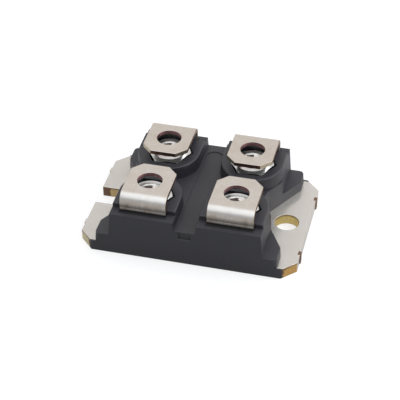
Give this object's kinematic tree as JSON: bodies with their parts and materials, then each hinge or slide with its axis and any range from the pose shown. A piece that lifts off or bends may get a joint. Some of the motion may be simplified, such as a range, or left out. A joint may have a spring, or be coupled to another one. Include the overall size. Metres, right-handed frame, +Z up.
{
  "type": "igbt module",
  "caption": "Black moulded power transistor module on a plated copper base plate, with folded screw terminals over captive hex nuts and recesses for mounting screws.",
  "frame": {"origin": "middle of the base plate's underside", "axes": "+X along the module from the open slot to the round mounting hole, +Y across it, +Z up out of the terminals"},
  "size_m": [0.0382, 0.0252, 0.0119],
  "materials": {
    "plated_copper_plate": "satin",
    "plated_copper_strip": "polished",
    "plated_steel": "polished",
    "black_epoxy": "matte",
    "bare_copper": "satin",
    "ceramic": "matte",
    "solder": "satin",
    "silicon": "gloss",
    "aluminium_wire": "satin"
  },
  "bodies": {
    "root": {"base_plate": "plated_copper_plate", "base_solder": "solder", "back_copper": "bare_copper", "ceramic": "ceramic", "collector_pad": "bare_copper", "emitter_pad": "bare_copper", "gate_pad": "bare_copper", "sense_pad": "bare_copper", "igbt_solder": "solder", "igbt_chip": "silicon", "diode_solder": "solder", "diode_chip": "silicon", "emitter_wires": "aluminium_wire", "diode_wires": "aluminium_wire", "gate_wire": "aluminium_wire", "sense_wire": "aluminium_wire", "collector_terminal": "plated_copper_strip", "emitter_terminal": "plated_copper_strip", "gate_terminal": "plated_copper_strip", "sense_terminal": "plated_copper_strip", "moulded_body": "black_epoxy", "terminal_nuts": "plated_steel"}
  },
  "joints": []
}
